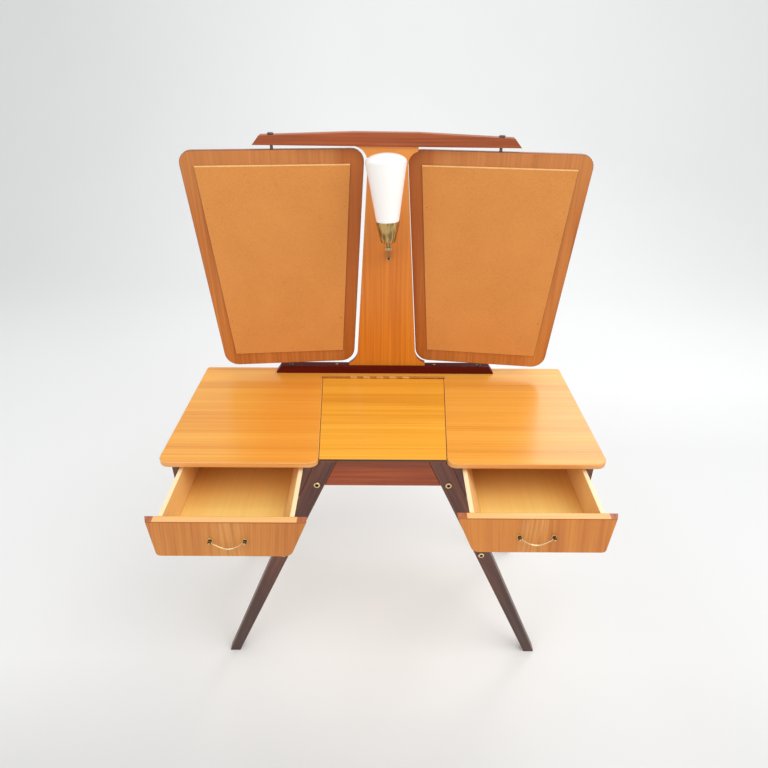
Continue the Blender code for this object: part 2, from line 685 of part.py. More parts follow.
def build_mirror(label, side, mirror):
    """Local to the swivel axis; its mirror face looks to +Y, away from the viewer, as it stands."""
    half = MIRROR_THICK / 2
    name = f"mirror_board_{label}"
    outline = mirror_outline(side, (0.0, 0.0, 0.0), MIRROR_CORNER, 6)
    board = as_mesh(slab(name, "teak_dark", mirror, "xz", [outline], -half, half))
    sockets = [rod_mesh("socket", PIVOT_RADIUS + GAP, 0.060, "z", (0, 0, z))
               for z in (MIRROR_BOTTOM, MIRROR_TOP[side])]
    boolean(board, join_meshes(name + "_sockets", sockets))
    outline = mirror_outline(side, (GLASS_INSET, GLASS_INSET, GLASS_INSET), (0.018, 0.018), 5)
    slab(f"mirror_glass_{label}", "mirror", mirror, "xz", [outline], half + GAP, half + GAP + GLASS_THICK)
    outline = mirror_outline(side, BACKING_INSET, (0, 0), 5)
    slab(f"mirror_backing_{label}", "hardboard", mirror, "xz", [outline], -half - GAP - BACKING_THICK,
         -half - GAP)


def build_pivots(label, side, mirror):
    """Pins fixed in the mirror turn in the rails; the upper one has a knurled head above its rail."""
    foot = LOWER_RAIL_TOP - 0.0110
    rod(f"lower_pivot_{label}", "steel", mirror, PIVOT_RADIUS, 0.040, "z", (0, 0, foot + 0.020))
    seat = top_rail_height(PIVOT_X) - rail_fall(side * PIVOT_X) + 0.0006
    top = seat + KNOB_THICK
    foot = MIRROR_TOP[side] - 0.027
    turned(f"upper_pivot_{label}", "steel", mirror, [
        (0.0, top), (KNOB_RADIUS - 0.0006, top), (KNOB_RADIUS, top - 0.0006), (KNOB_RADIUS, seat),
        (PIVOT_RADIUS, seat), (PIVOT_RADIUS, foot), (0.0, foot)], 18)


def top_rail_height(x):
    run = (abs(x) - TOP_RAIL_FLAT) / (TOP_RAIL_HALF[1] - TOP_RAIL_FLAT)
    return TOP_RAIL_CROWN + (TOP_RAIL_END - TOP_RAIL_CROWN) * run


# ---- the lamp -----------------------------------------------------------------------------------------
def build_lamp(mount, head):
    """A bracket from the board to the pivot, and a head that tilts on it; the head is drawn upright."""
    board = BOARD_Y[0] - GAP - LAMP_PIVOT[0]
    arm = [(board, -0.0490), (board, -0.0240), (board - 0.0040, -0.0270), (0.0025, 0.0045),
           *circle((0.0, 0.0), LAMP_EYE, 12, math.radians(60))[:6], (board - 0.0045, -0.0420),
           (board - 0.0040, -0.0490)]
    bracket = as_mesh(slab("lamp_bracket", "dark_brass", mount, "yz", [arm], -LAMP_ARM, LAMP_ARM))
    boolean(bracket, rod_mesh("lamp_bracket_bore", LAMP_PIN + GAP, 0.020, "x", (0, 0, 0)))
    build_lamp_cup(head)
    low, high = CUP_RANGE
    turned("lamp_bulb", "opal_glass", head, bulb_profile(low + CUP_WALL + GAP))
    build_shade(head, high + GAP)


def build_shade(head, base):
    """A hollow cone of opal glass, closed by a low dome."""
    foot, rim = SHADE_RADIUS
    steps = 6
    turns = [math.pi / 2 * k / steps for k in range(steps + 1)]
    outer = [(rim * math.sin(t), SHADE_TOP + SHADE_DOME * math.cos(t)) for t in turns]
    inner = [((rim - SHADE_WALL) * math.sin(t), SHADE_TOP + (SHADE_DOME - SHADE_WALL) * math.cos(t))
             for t in reversed(turns)]
    profile = [*outer, (foot, base), (foot - SHADE_WALL, base), *inner]
    turned("lamp_shade", "opal_glass", head, profile, 32)


def build_lamp_cup(head):
    """The cup that holds the glass, with two cheeks and the pin that runs through the bracket."""
    low, high = CUP_RANGE
    profile = [(0.0, low + CUP_WALL), (0.0128, low + CUP_WALL), (0.0160, low + 0.0040),
               (0.0174, low + 0.0090), (CUP_RIM - CUP_WALL, high), (CUP_RIM, high), (0.0186, low + 0.0090),
               (0.0172, low + 0.0035), (0.0135, low), (0.0, low)]
    cup = as_mesh(turned("lamp_cup", "brass", head, profile))
    top = low + CUP_WALL / 2
    outline = [(LAMP_EYE, top), (-LAMP_EYE, top), *circle((0.0, 0.0), LAMP_EYE, 12, math.pi)[:7]]
    inside = LAMP_ARM + GAP
    for end in (-1, 1):
        cheek = as_mesh(slab("lamp_cheek", "brass", head, "yz", [outline],
                             *span(end, inside, inside + LAMP_CHEEK)))
        OBJECTS.objects.unlink(cheek)
        boolean(cup, cheek, "UNION")
    boolean(cup, rod_mesh("lamp_pin", LAMP_PIN, 2 * (inside + LAMP_CHEEK + 0.0015), "x", (0, 0, 0)), "UNION")


def bulb_profile(low):
    """A small bulb in its holder, which stands on the cup's floor."""
    shoulder = low + 0.034
    top = shoulder + 0.075
    points = [(0.0, top)]
    steps = 8
    for k in range(1, steps + 1):
        t = k / steps
        points.append((0.0165 * math.sin(math.pi * (0.08 + 0.72 * t)), top - 0.066 * t))
    points += [(0.0095, shoulder), (0.0125, shoulder - 0.003), (0.0125, low), (0.0, low)]
    return points


# ---- the whole object ---------------------------------------------------------------------------------
def build():
    root = empty("vanity_table_origin", (0.0, -ORIGIN_Y, 0.0))
    hinge = empty("lid_axis", (0.0, HINGE_Y, TOP_Z + HINGE_HEIGHT), root)
    build_tabletop(root)
    build_lid(hinge)
    build_hinge(root, hinge)
    build_legs(root)
    build_aprons(root)
    build_side_rails(root)
    build_bolts(root)
    build_cases(root)
    frame = empty("mirror_frame", (FRAME_X, 0.0, 0.0), root)
    build_rails(frame)
    build_centre_board(frame)
    for label, side in SIDES:
        drawer = empty(f"drawer_axis_{label}", (0.0, LEG_PLANE - GAP - PULLED_OUT[label], 0.0), root)
        build_drawer(label, side, drawer)
        build_handle(label, side, drawer)
        mirror = empty(f"mirror_axis_{label}", (side * PIVOT_X, PIVOT_Y, 0.0), frame,
                       (0.0, 0.0, -side * MIRROR_TURN[label]))
        build_mirror(label, side, mirror)
        build_pivots(label, side, mirror)
    mount = empty("lamp_mount", (LAMP_X, *LAMP_PIVOT), root, (0.0, LAMP_ROLL, 0.0))
    head = empty("lamp_axis", (0.0, 0.0, 0.0), mount, (LAMP_LEAN, 0.0, 0.0))
    build_lamp(mount, head)


clear_scene()
OBJECTS = bpy.data.collections.new("vanity_table")
CUTTERS = bpy.data.collections.new("cutters")
for collection in (OBJECTS, CUTTERS):
    bpy.context.scene.collection.children.link(collection)
build()
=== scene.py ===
"""Looks for the vanity table: procedural woods, brass, glass and small hardware on the CAD frame."""
import json
import math

import bmesh
import bpy
from mathutils import Matrix, Vector

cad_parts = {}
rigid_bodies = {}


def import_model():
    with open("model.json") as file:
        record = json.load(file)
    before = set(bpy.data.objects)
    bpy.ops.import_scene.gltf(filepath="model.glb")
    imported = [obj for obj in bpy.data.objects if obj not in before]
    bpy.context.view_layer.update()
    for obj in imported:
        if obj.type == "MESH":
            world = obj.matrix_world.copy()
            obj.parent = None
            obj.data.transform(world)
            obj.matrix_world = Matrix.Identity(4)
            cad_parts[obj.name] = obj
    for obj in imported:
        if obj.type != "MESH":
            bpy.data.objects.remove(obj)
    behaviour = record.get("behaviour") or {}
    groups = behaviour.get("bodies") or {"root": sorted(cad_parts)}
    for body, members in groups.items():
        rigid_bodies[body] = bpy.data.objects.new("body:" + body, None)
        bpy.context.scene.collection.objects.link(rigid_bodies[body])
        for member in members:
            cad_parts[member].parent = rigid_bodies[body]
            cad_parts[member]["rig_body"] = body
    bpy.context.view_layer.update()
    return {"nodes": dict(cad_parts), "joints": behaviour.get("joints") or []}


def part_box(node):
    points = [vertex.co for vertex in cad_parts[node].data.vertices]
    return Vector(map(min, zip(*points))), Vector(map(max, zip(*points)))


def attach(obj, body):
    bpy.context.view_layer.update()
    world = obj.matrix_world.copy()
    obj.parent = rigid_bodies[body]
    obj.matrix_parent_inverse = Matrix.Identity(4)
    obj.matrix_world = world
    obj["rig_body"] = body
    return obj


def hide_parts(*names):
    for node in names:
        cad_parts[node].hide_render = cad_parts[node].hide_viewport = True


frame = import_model()
NODES = frame["nodes"]
SIDES = (("left", -1), ("right", 1))
MIRRORS_X = 0.004         # middle of the mirror group
STRIPE_X = 0.3130         # bright stripe on each drawer front
HINGE_X = -0.0098         # middle of the painted highlights on the knuckles
KNUCKLE_PITCH = 0.0355
HIGHLIGHT_REACH = 0.080    # the painted highlights end this far from their middle
RAIL_SCREWS_X = 0.006     # middle between the two screws on the lower rail
RAIL_SCREW_REACH = 0.134
LAMP_LEAN = math.radians(-5.0)
PIN_SPOTS = [(0.03, 0.20), (0.97, 0.20), (0.03, 0.80), (0.97, 0.80)]  # share of a panel's width and height
PORE_LENGTH = 0.011
PORE_WIDTH = 0.0007


# ---- node helpers -------------------------------------------------------------------------------------
def linear(r, g, b):
    """Display colour, 0 to 255, as linear light."""
    return tuple(c / 255 / 12.92 if c <= 10 else ((c / 255 + 0.055) / 1.055) ** 2.4 for c in (r, g, b))


class Look:
    """A Principled material under construction."""

    def __init__(self, name, roughness=0.5, metallic=0.0, coat=0.0, ior=1.5):
        self.mat = bpy.data.materials.new(name)
        self.mat.use_nodes = True
        self.tree = self.mat.node_tree
        self.shader = self.tree.nodes["Principled BSDF"]
        self.shader.inputs["Roughness"].default_value = roughness
        self.shader.inputs["Metallic"].default_value = metallic
        self.shader.inputs["IOR"].default_value = ior
        if coat:
            self.shader.inputs["Coat Weight"].default_value = coat
            self.shader.inputs["Coat Roughness"].default_value = 0.22
        self.place = self.tree.nodes.new("ShaderNodeTexCoord").outputs["Object"]

    def put(self, socket, value):
        if isinstance(value, bpy.types.NodeSocket):
            self.tree.links.new(value, socket)
        else:
            socket.default_value = value

    def mapped(self, cell, offset=(0, 0, 0), turn=(0, 0, 0)):
        """Coordinates in which one unit is cell metres along each axis."""
        node = self.tree.nodes.new("ShaderNodeMapping")
        node.vector_type = "POINT"
        self.put(node.inputs["Vector"], self.place)
        node.inputs["Scale"].default_value = [1 / c for c in cell]
        node.inputs["Location"].default_value = offset
        if any(turn):
            spin = self.tree.nodes.new("ShaderNodeMapping")
            self.put(spin.inputs["Vector"], self.place)
            spin.inputs["Rotation"].default_value = turn
            self.put(node.inputs["Vector"], spin.outputs["Vector"])
        return node.outputs["Vector"]

    def noise(self, vector, detail=3.0, roughness=0.55, distortion=0.0):
        node = self.tree.nodes.new("ShaderNodeTexNoise")
        self.put(node.inputs["Vector"], vector)
        node.inputs["Scale"].default_value = 1.0
        node.inputs["Detail"].default_value = detail
        node.inputs["Roughness"].default_value = roughness
        node.inputs["Distortion"].default_value = distortion
        return node.outputs["Fac"]

    def math(self, operation, a, b=0.0, clamp=False):
        node = self.tree.nodes.new("ShaderNodeMath")
        node.operation = operation
        node.use_clamp = clamp
        self.put(node.inputs[0], a)
        self.put(node.inputs[1], b)
        return node.outputs[0]

    def span(self, value, low, high, out_low=0.0, out_high=1.0, smooth=False):
        node = self.tree.nodes.new("ShaderNodeMapRange")
        if smooth:
            node.interpolation_type = "SMOOTHSTEP"
        self.put(node.inputs["Value"], value)
        limits = {"From Min": low, "From Max": high, "To Min": out_low, "To Max": out_high}
        for key, number in limits.items():
            node.inputs[key].default_value = number
        return node.outputs["Result"]

    def ramp(self, value, stops):
        node = self.tree.nodes.new("ShaderNodeValToRGB")
        ends = node.color_ramp.elements
        while len(ends) < len(stops):
            ends.new(0.5)
        for element, (position, colour) in zip(ends, stops):
            element.position = position
            element.color = (*colour, 1.0)
        self.put(node.inputs["Fac"], value)
        return node.outputs["Color"]

    def mix(self, factor, a, b, blend="MIX"):
        node = self.tree.nodes.new("ShaderNodeMix")
        node.data_type = "RGBA"
        node.blend_type = blend
        self.put(node.inputs[0], factor)
        self.put(node.inputs[6], (*a, 1.0) if isinstance(a, tuple) else a)
        self.put(node.inputs[7], (*b, 1.0) if isinstance(b, tuple) else b)
        return node.outputs[2]

    def axis(self, index):
        node = self.tree.nodes.new("ShaderNodeSeparateXYZ")
        self.put(node.inputs[0], self.place)
        return node.outputs[index]

    def bump(self, height, distance, strength=1.0):
        node = self.tree.nodes.new("ShaderNodeBump")
        node.inputs["Distance"].default_value = distance
        node.inputs["Strength"].default_value = strength
        self.put(node.inputs["Height"], height)
        self.put(self.shader.inputs["Normal"], node.outputs["Normal"])

    def colour(self, value):
        self.put(self.shader.inputs["Base Color"], value)

    def rough(self, value):
        self.put(self.shader.inputs["Roughness"], value)


GRAIN_CELLS = {"x": (1.0, 0.0, 0.0), "y": (0.0, 1.0, 0.0), "z": (0.0, 0.0, 1.0)}


def wood(name, dark, mid, light, grain="x", pitch=0.006, run=0.30, contrast=1.0, roughness=0.40, coat=0.0,
         seed=0.0, turn=(0, 0, 0), pore=0.35, lines=0.40, extra=None):
    """Oiled wood: broad figure, streaks, thin dark lines and pores, all drawn out along the grain."""
    look = Look(name, roughness, coat=coat)
    along = GRAIN_CELLS[grain]

    def cells(length, width):
        return tuple(length if a else width for a in along)

    shift = (seed, seed * 1.7, seed * 0.6)
    figure = look.noise(look.mapped(cells(run * 2.4, pitch * 11), shift, turn), 3.0, 0.5, 0.35)
    streak = look.noise(look.mapped(cells(run, pitch), shift, turn), 5.0, 0.62, 0.10)
    line = look.noise(look.mapped(cells(run * 1.5, pitch * 0.42), shift, turn), 2.0, 0.5)
    pores = look.noise(look.mapped(cells(PORE_LENGTH, PORE_WIDTH), shift, turn), 2.0, 0.6)
    value = look.math("MULTIPLY_ADD", streak, 0.55, False)
    look.put(value.node.inputs[2], look.math("MULTIPLY", figure, 0.45))
    value = look.span(value, 0.5 - 0.22 / contrast, 0.5 + 0.22 / contrast)
    tone = look.ramp(value, [(0.0, dark), (0.5, mid), (1.0, light)])
    thin = look.span(line, 0.58, 0.72, 0.0, lines, smooth=True)
    tone = look.mix(thin, tone, dark)
    open_pores = look.span(pores, 0.62, 0.75, 0.0, pore, smooth=True)
    tone = look.mix(open_pores, tone, tuple(c * 0.55 for c in dark))
    if extra:
        tone = extra(look, tone)
    look.colour(tone)
    look.rough(look.span(streak, 0.3, 0.7, roughness + 0.07, roughness - 0.05))
    height = look.math("SUBTRACT", look.math("MULTIPLY", streak, 0.5), open_pores)
    look.bump(height, 0.00012, 0.5)
    return look.mat


def metal(name, base, tarnish, roughness=0.3, amount=0.5, cell=0.006):
    look = Look(name, roughness, metallic=1.0)
    cloud = look.noise(look.mapped((cell, cell, cell)), 5.0, 0.6, 0.4)
    fine = look.noise(look.mapped((cell / 9, cell / 9, cell / 9)), 3.0, 0.6)
    spots = look.span(cloud, 0.42, 0.66, 0.0, amount, smooth=True)
    look.colour(look.mix(spots, base, tarnish))
    look.rough(look.math("ADD", look.span(cloud, 0.3, 0.7, roughness - 0.06, roughness + 0.14),
                         look.span(fine, 0.3, 0.7, 0.0, 0.06)))
    look.bump(fine, 0.00008, 0.4)
    return look.mat


def reflection_banded_brass(name, bright, dull):
    """Spun brass with soft dark bands that run up its sides, partly streaks in the metal and partly
    painted reflections.
    """
    look = Look(name, 0.32, metallic=1.0)
    bands = look.noise(look.mapped((0.0052, 0.0052, 0.20)), 3.0, 0.5)
    fine = look.noise(look.mapped((0.0012, 0.0012, 0.08)), 3.0, 0.6)
    look.colour(look.mix(look.span(bands, 0.40, 0.62, 0.0, 0.9, smooth=True), bright, dull))
    look.rough(look.span(fine, 0.3, 0.7, 0.28, 0.38))
    look.bump(fine, 0.00006, 0.4)
    return look.mat


def hardboard(name, base):
    look = Look(name, 0.78)
    cloud = look.noise(look.mapped((0.09, 0.09, 0.09)), 4.0, 0.55, 0.3)
    fleck = look.noise(look.mapped((0.0030, 0.0030, 0.0030)), 4.0, 0.7)
    fibre = look.noise(look.mapped((0.0011, 0.0016, 0.0016)), 2.0, 0.6)
    low = tuple(c * f for c, f in zip(base, (0.88, 0.84, 0.78)))
    high = tuple(min(1.0, c * f) for c, f in zip(base, (1.06, 1.09, 1.14)))
    value = look.math("ADD", look.math("MULTIPLY", cloud, 0.25), look.math("MULTIPLY", fleck, 0.75))
    tone = look.ramp(look.span(value, 0.36, 0.64), [(0.0, low), (0.5, base), (1.0, high)])
    strands = look.span(fibre, 0.60, 0.75, 0.0, 0.20, smooth=True)
    tone = look.mix(strands, tone, tuple(c * 0.65 for c in base))
    look.colour(tone)
    look.rough(look.span(fleck, 0.3, 0.7, 0.70, 0.86))
    look.bump(look.math("ADD", fleck, fibre), 0.00018, 0.6)
    return look.mat


def plain(name, base, roughness, spread=0.06, cell=0.02, metallic=0.0, coat=0.0):
    look = Look(name, roughness, metallic, coat)
    cloud = look.noise(look.mapped((cell, cell, cell)), 4.0, 0.55)
    look.colour(look.mix(look.span(cloud, 0.3, 0.7), tuple(c * (1 - spread) for c in base),
                         tuple(min(1.0, c * (1 + spread)) for c in base)))
    look.rough(look.span(cloud, 0.3, 0.7, roughness - 0.04, roughness + 0.05))
    return look.mat


def glowing(name, base, roughness, strength):
    """White glass that scatters light inside itself, with a faint glow standing for the scattering."""
    look = Look(name, roughness)
    cloud = look.noise(look.mapped((0.05, 0.05, 0.05)), 3.0, 0.5)
    tone = look.mix(look.span(cloud, 0.3, 0.7), tuple(c * 0.99 for c in base), base)
    look.colour(tone)
    look.put(look.shader.inputs["Emission Color"], tone)
    look.shader.inputs["Emission Strength"].default_value = strength
    return look.mat


def knuckle_highlight_brass(name, bright, dull, centre, pitch, reach):
    """A dull hinge whose middle knuckles carry painted highlights."""
    look = Look(name, 0.36, metallic=0.85)
    cloud = look.noise(look.mapped((0.012, 0.004, 0.004)), 4.0, 0.6)
    along = look.math("SUBTRACT", look.axis(0), centre)
    wave = look.math("COSINE", look.math("MULTIPLY", along, 2 * math.pi / pitch))
    highlit_knuckles = look.math("MULTIPLY", look.span(wave, -0.25, 0.15),
                         look.math("LESS_THAN", look.math("ABSOLUTE", along), reach))
    tone = look.mix(look.span(cloud, 0.42, 0.60, 0.0, 0.4), bright, dull)
    look.colour(look.mix(highlit_knuckles, dull, tone))
    look.rough(look.span(cloud, 0.3, 0.7, 0.28, 0.46))
    return look.mat


# ---- materials ----------------------------------------------------------------------------------------
def deepened(index, low, high, amount, colour):
    """Tints a wood gradually along one axis of the object."""
    def tint(look, tone):
        return look.mix(look.span(look.axis(index), low, high, 0.0, amount, smooth=True), tone, colour)

    return tint


def inner_stiles(look, tone):
    """The stiles beside the centre board are darker and redder, and the upper parts a little paler."""
    upper = look.span(look.axis(2), 1.10, 1.26, 0.0, 0.30, smooth=True)
    tone = look.mix(upper, tone, linear(216, 150, 90))
    off = look.math("ABSOLUTE", look.math("SUBTRACT", look.axis(0), MIRRORS_X))
    return look.mix(look.span(off, 0.098, 0.125, 0.52, 0.0, smooth=True), tone, linear(172, 82, 6))


def painted_reflection_patch(look, tone):
    """Painted reflection of the left mirror's board: the left half of the top is deeper in colour beside
    the lid.
    """
    off = look.math("ABSOLUTE", look.math("ADD", look.axis(0), 0.230))
    return look.mix(look.span(off, 0.02, 0.15, 0.32, 0.0, smooth=True), tone, linear(226, 126, 20))


LIP_ENDS = {"left": (-0.4645, -0.1725), "right": (0.1725, 0.4645)}


def lipping_ends(side):
    """Pale lipping between darker end pieces, on the top edge of a drawer front."""
    low, high = LIP_ENDS[side]

    def tint(look, tone):
        x = look.axis(0)
        inside = look.math("MULTIPLY", look.math("GREATER_THAN", x, low), look.math("LESS_THAN", x, high))
        red = look.mix(look.span(look.noise(look.mapped((0.004, 0.03, 0.004))), 0.3, 0.7),
                       linear(150, 82, 50), linear(190, 112, 72))
        return look.mix(inside, red, tone)

    return tint


def front_stripe(centre):
    """A bright run of sapwood down the middle of a drawer front, and its broad diagonal figure."""
    def tint(look, tone):
        wavy = look.noise(look.mapped((0.05, 0.05, 0.14)), 3.0, 0.5)
        x = look.math("ADD", look.axis(0), look.span(wavy, 0.3, 0.7, -0.014, 0.014))
        off = look.math("ABSOLUTE", look.math("SUBTRACT", x, centre))
        glow = look.span(off, 0.006, 0.050, 0.32, 0.0, smooth=True)
        bands = look.noise(look.mapped((0.0045, 0.05, 0.30)), 2.0, 0.5, 0.6)
        glow = look.math("MULTIPLY", glow, look.span(bands, 0.40, 0.58, 0.25, 1.0, smooth=True))
        tone = look.mix(glow, tone, linear(248, 192, 110))
        rim = look.span(look.axis(2), 0.6735, 0.6750, 0.0, 0.6, smooth=True)
        return look.mix(rim, tone, linear(140, 74, 30))

    return tint


TEAK = (linear(204, 124, 39), linear(236, 163, 62), linear(254, 193, 89))
MATS = {
    "top": wood("teak_top", *TEAK, "x", 0.0040, 0.90, 0.80, 0.34, 0.25, 3.1, lines=0.34,
        extra=painted_reflection_patch),
    "top_edge": wood("teak_top_edge", linear(205, 128, 60), linear(236, 168, 92), linear(248, 190, 118),
        "x", 0.004, 0.3, 0.8, 0.38, 0.15, 5.3),
    "lid": wood("teak_lid", linear(208, 129, 30), linear(240, 170, 52), linear(255, 204, 84), "x",
        0.0044, 0.90, 0.85, 0.34, 0.25, 11.7, lines=0.34),
    # The lid's front edge: darker teak edge with painted shade on it.
    "lid_front": wood("lid_front_edge_and_shade", linear(60, 34, 26), linear(84, 50, 38), linear(108, 66, 48),
        "x", 0.003, 0.2, 1.0, 0.45, 0.0, 2.0),
    "mirror_frame": wood("teak_mirror_frame", linear(157, 87, 36), linear(191, 113, 50),
        linear(213, 140, 70), "z", 0.0060, 0.30, 1.0, 0.42, 0.1, 8.2, extra=inner_stiles),
    "seam": plain("seam_shadow", linear(96, 48, 20), 0.8, 0.2, 0.01),
    "mirror_frame_edge": wood("teak_mirror_edge", linear(120, 62, 34), linear(150, 82, 46),
        linear(178, 104, 62), "z", 0.004, 0.2, 1.0, 0.45, 0.1, 4.4),
    "board": wood("teak_centre_board", linear(189, 98, 16), linear(214, 124, 26), linear(230, 146, 42),
        "z", 0.0056, 0.42, 1.0, 0.38, 0.2, 15.5,
        extra=deepened(2, 1.02, 1.24, 0.75, linear(240, 158, 68))),
    "leg_left": wood("mahogany_leg_left", linear(61, 33, 26), linear(94, 53, 40), linear(126, 74, 55),
        "z", 0.0048, 0.22, 1.3, 0.42, 0.1, 6.1, (0, -0.40, 0),
        extra=deepened(2, 0.48, 0.05, 0.60, linear(38, 20, 14))),
    "leg_right": wood("mahogany_leg_right", linear(61, 33, 26), linear(94, 53, 40), linear(126, 74, 55),
        "z", 0.0048, 0.22, 1.3, 0.42, 0.1, 9.1, (0, 0.40, 0),
        extra=deepened(2, 0.48, 0.05, 0.60, linear(38, 20, 14))),
    "leg_edge": wood("mahogany_leg_edge", linear(82, 46, 35), linear(114, 66, 49), linear(143, 87, 64),
        "z", 0.004, 0.2, 1.0, 0.45, 0.1, 1.1, extra=deepened(2, 0.48, 0.05, 0.50, linear(52, 30, 22))),
    # The apron's top band is darker: painted shadow under the lid's overhang.
    "apron": wood("mahogany_apron", linear(110, 43, 12), linear(153, 66, 20), linear(184, 90, 34), "x",
        0.0058, 0.20, 1.1, 0.42, 0.08, 12.4, extra=deepened(2, 0.666, 0.684, 0.55, linear(88, 38, 18))),
    "top_rail": wood("mahogany_top_rail", linear(123, 51, 13), linear(162, 75, 23),
        linear(189, 100, 38), "x", 0.0048, 0.22, 1.0, 0.42, 0.08, 7.7,
        extra=deepened(0, 0.05, 0.25, 0.22, linear(104, 44, 12))),
    "low_rail": wood("mahogany_lower_rail", linear(61, 8, 2), linear(92, 14, 3), linear(119, 22, 5),
        "x", 0.0048, 0.22, 1.0, 0.46, 0.0, 2.9),
    "case": wood("mahogany_case", linear(70, 40, 36), linear(100, 62, 54), linear(128, 84, 72), "y",
        0.005, 0.22, 1.0, 0.45, 0.05, 10.9),
    "stretcher": wood("mahogany_stretcher", linear(66, 34, 26), linear(100, 54, 40),
        linear(128, 76, 56), "y", 0.005, 0.22, 1.0, 0.42, 0.1, 13.9),
    "birch_y": wood("birch_sides", linear(232, 175, 97), linear(252, 203, 129), linear(255, 223, 157),
        "y", 0.0070, 0.40, 0.38, 0.50, 0.0, 4.8, pore=0.10, lines=0.08),
    "birch_x": wood("birch_across", linear(226, 158, 71), linear(248, 185, 95), linear(255, 204, 116),
        "x", 0.0070, 0.40, 0.38, 0.50, 0.0, 14.2, pore=0.10, lines=0.08),
    # Towards the back the drawer bottom is deeper in colour: painted shade under the tabletop.
    "birch_floor": wood("birch_floor", linear(246, 184, 88), linear(255, 218, 124),
        linear(255, 236, 150), "y", 0.0100, 0.45, 0.36, 0.48, 0.05, 19.3, pore=0.10, lines=0.08,
        extra=deepened(1, -0.215, -0.100, 0.40, linear(216, 112, 6))),
    "birch_edge": wood("birch_edge", linear(246, 210, 154), linear(255, 228, 180),
        linear(255, 240, 204), "y", 0.004, 0.2, 0.8, 0.52, 0.0, 3.3, pore=0.1, lines=0.1),
    "hardboard": hardboard("pressed_board", linear(214, 141, 67)),
    # Painted highlight on the hardboard's upward faces.
    "hardboard_top_highlight": plain("pressed_board_top_highlight", linear(246, 192, 124), 0.8, 0.10, 0.012),
    # Painted shade on the hardboard's side and lower faces, which stand proud of the board.
    "hardboard_edge_shade": plain("pressed_board_edge_shade", linear(122, 64, 32), 0.8, 0.10, 0.004),
    "brass": metal("brass", linear(232, 200, 132), linear(150, 116, 66), 0.26, 0.6),
    "brass_cup": reflection_banded_brass("brass_cup", linear(212, 184, 122), linear(128, 104, 66)),
    "brass_arm": plain("brass_arm", linear(172, 154, 112), 0.48, 0.16, 0.006, 0.35),
    "hinge": knuckle_highlight_brass("hinge_brass", linear(236, 190, 122), linear(192, 130, 66), HINGE_X,
        KNUCKLE_PITCH, HIGHLIGHT_REACH),
    "bright_brass": metal("bright_brass", linear(246, 222, 168), linear(190, 150, 88), 0.20, 0.45,
        0.004),
    "dark_brass": metal("dark_brass", linear(96, 78, 54), linear(38, 30, 24), 0.40, 0.8, 0.003),
    "steel": metal("worn_steel", linear(128, 122, 116), linear(60, 54, 50), 0.38, 0.7, 0.004),
    "silver": plain("silvered_glass", (0.88, 0.90, 0.90), 0.03, 0.01, 0.2, 1.0),
    "silver_edge": plain("glass_edge", linear(140, 170, 160), 0.15, 0.08, 0.01),
    "opal": glowing("opal_glass", (0.91, 0.91, 0.90), 0.22, 0.08),
    # Black for the panel pins, and painted shade in the bolt heads' sockets.
    "pin_black_and_socket_shade": plain("black_pins_and_socket_shade", linear(30, 22, 18), 0.8, 0.2, 0.003),
}
for side, sign in SIDES:
    warm = 0.5 + 0.5 * sign  # the right front is a little warmer than the left one
    MATS["front_" + side] = wood(
        f"teak_front_{side}", linear(171 + 6 * warm, 92 + 2 * warm, 28 - 3 * warm),
        linear(205 + 8 * warm, 124 + 4 * warm, 46 - 4 * warm),
        linear(222 + 7 * warm, 147 + 3 * warm, 63 - 5 * warm), "z", 0.0052, 0.36, 1.0, 0.40, 0.1,
        20.0 + 3 * sign, (0, 0.10 * sign, 0), extra=front_stripe(sign * STRIPE_X))
    MATS["lip_" + side] = wood(
        f"lipping_{side}", linear(224, 160, 90), linear(243, 185, 114), linear(252, 206, 142), "x", 0.004,
        0.2, 0.8, 0.42, 0.1, 24.0 + sign, pore=0.15, extra=lipping_ends(side))
# The lower rail and the mirrors' boards are duller than the other woods.
for key, level in (("low_rail", 0.15), ("mirror_frame", 0.30)):
    MATS[key].node_tree.nodes["Principled BSDF"].inputs["Specular IOR Level"].default_value = level


# ---- geometry helpers ---------------------------------------------------------------------------------
def add_piece(name, mesh, body, mats):
    obj = bpy.data.objects.new(name, mesh)
    bpy.context.scene.collection.objects.link(obj)
    for mat in mats:
        mesh.materials.append(MATS[mat])
    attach(obj, body)
    return obj


def smooth(obj, angle=32.0):
    obj.data.shade_smooth()
    obj.data.set_sharp_from_angle(angle=math.radians(angle))
    modifier = obj.modifiers.new("Normals", "WEIGHTED_NORMAL")
    modifier.keep_sharp = True
    return obj


def refined(node, bevel, mats, pick=None, segments=2):
    """Stands for a CAD node: the same solid, long edges eased. mats: faces, eased edges, then others."""
    bm = bmesh.new()
    bm.from_mesh(NODES[node].data)
    bmesh.ops.remove_doubles(bm, verts=bm.verts, dist=1e-5)
    bmesh.ops.dissolve_limit(bm, angle_limit=math.radians(0.6), verts=bm.verts, edges=bm.edges)
    bm.normal_update()
    hollow = {f for e in bm.edges if len(e.link_faces) == 2 and not e.is_convex
              and e.calc_face_angle(0.0) > math.radians(5) for f in e.link_faces}
    chosen = []
    for edge in bm.edges:
        if len(edge.link_faces) != 2 or not edge.is_convex or edge.calc_face_angle(0.0) < math.radians(30):
            continue
        if edge.calc_length() < 0.008 and any(f in hollow for f in edge.link_faces):
            continue
        chosen.append(edge)
    flats = []
    for face in bm.faces:
        if all(face.normal.dot(n) < 0.99995 for n in flats):
            flats.append(face.normal.copy())
    bmesh.ops.bevel(bm, geom=chosen, offset=bevel, offset_type="OFFSET", segments=segments, profile=0.5,
                    affect="EDGES", clamp_overlap=True)
    bm.normal_update()
    for face in bm.faces:
        if any(face.normal.dot(n) > 0.99995 for n in flats):
            face.material_index = pick(face.normal, face.calc_center_median()) if pick else 0
        else:
            face.material_index = 1
    mesh = bpy.data.meshes.new(node + "_fine")
    bm.to_mesh(mesh)
    bm.free()
    obj = add_piece(node + "_fine", mesh, NODES[node]["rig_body"], mats)
    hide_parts(node)
    return smooth(obj)


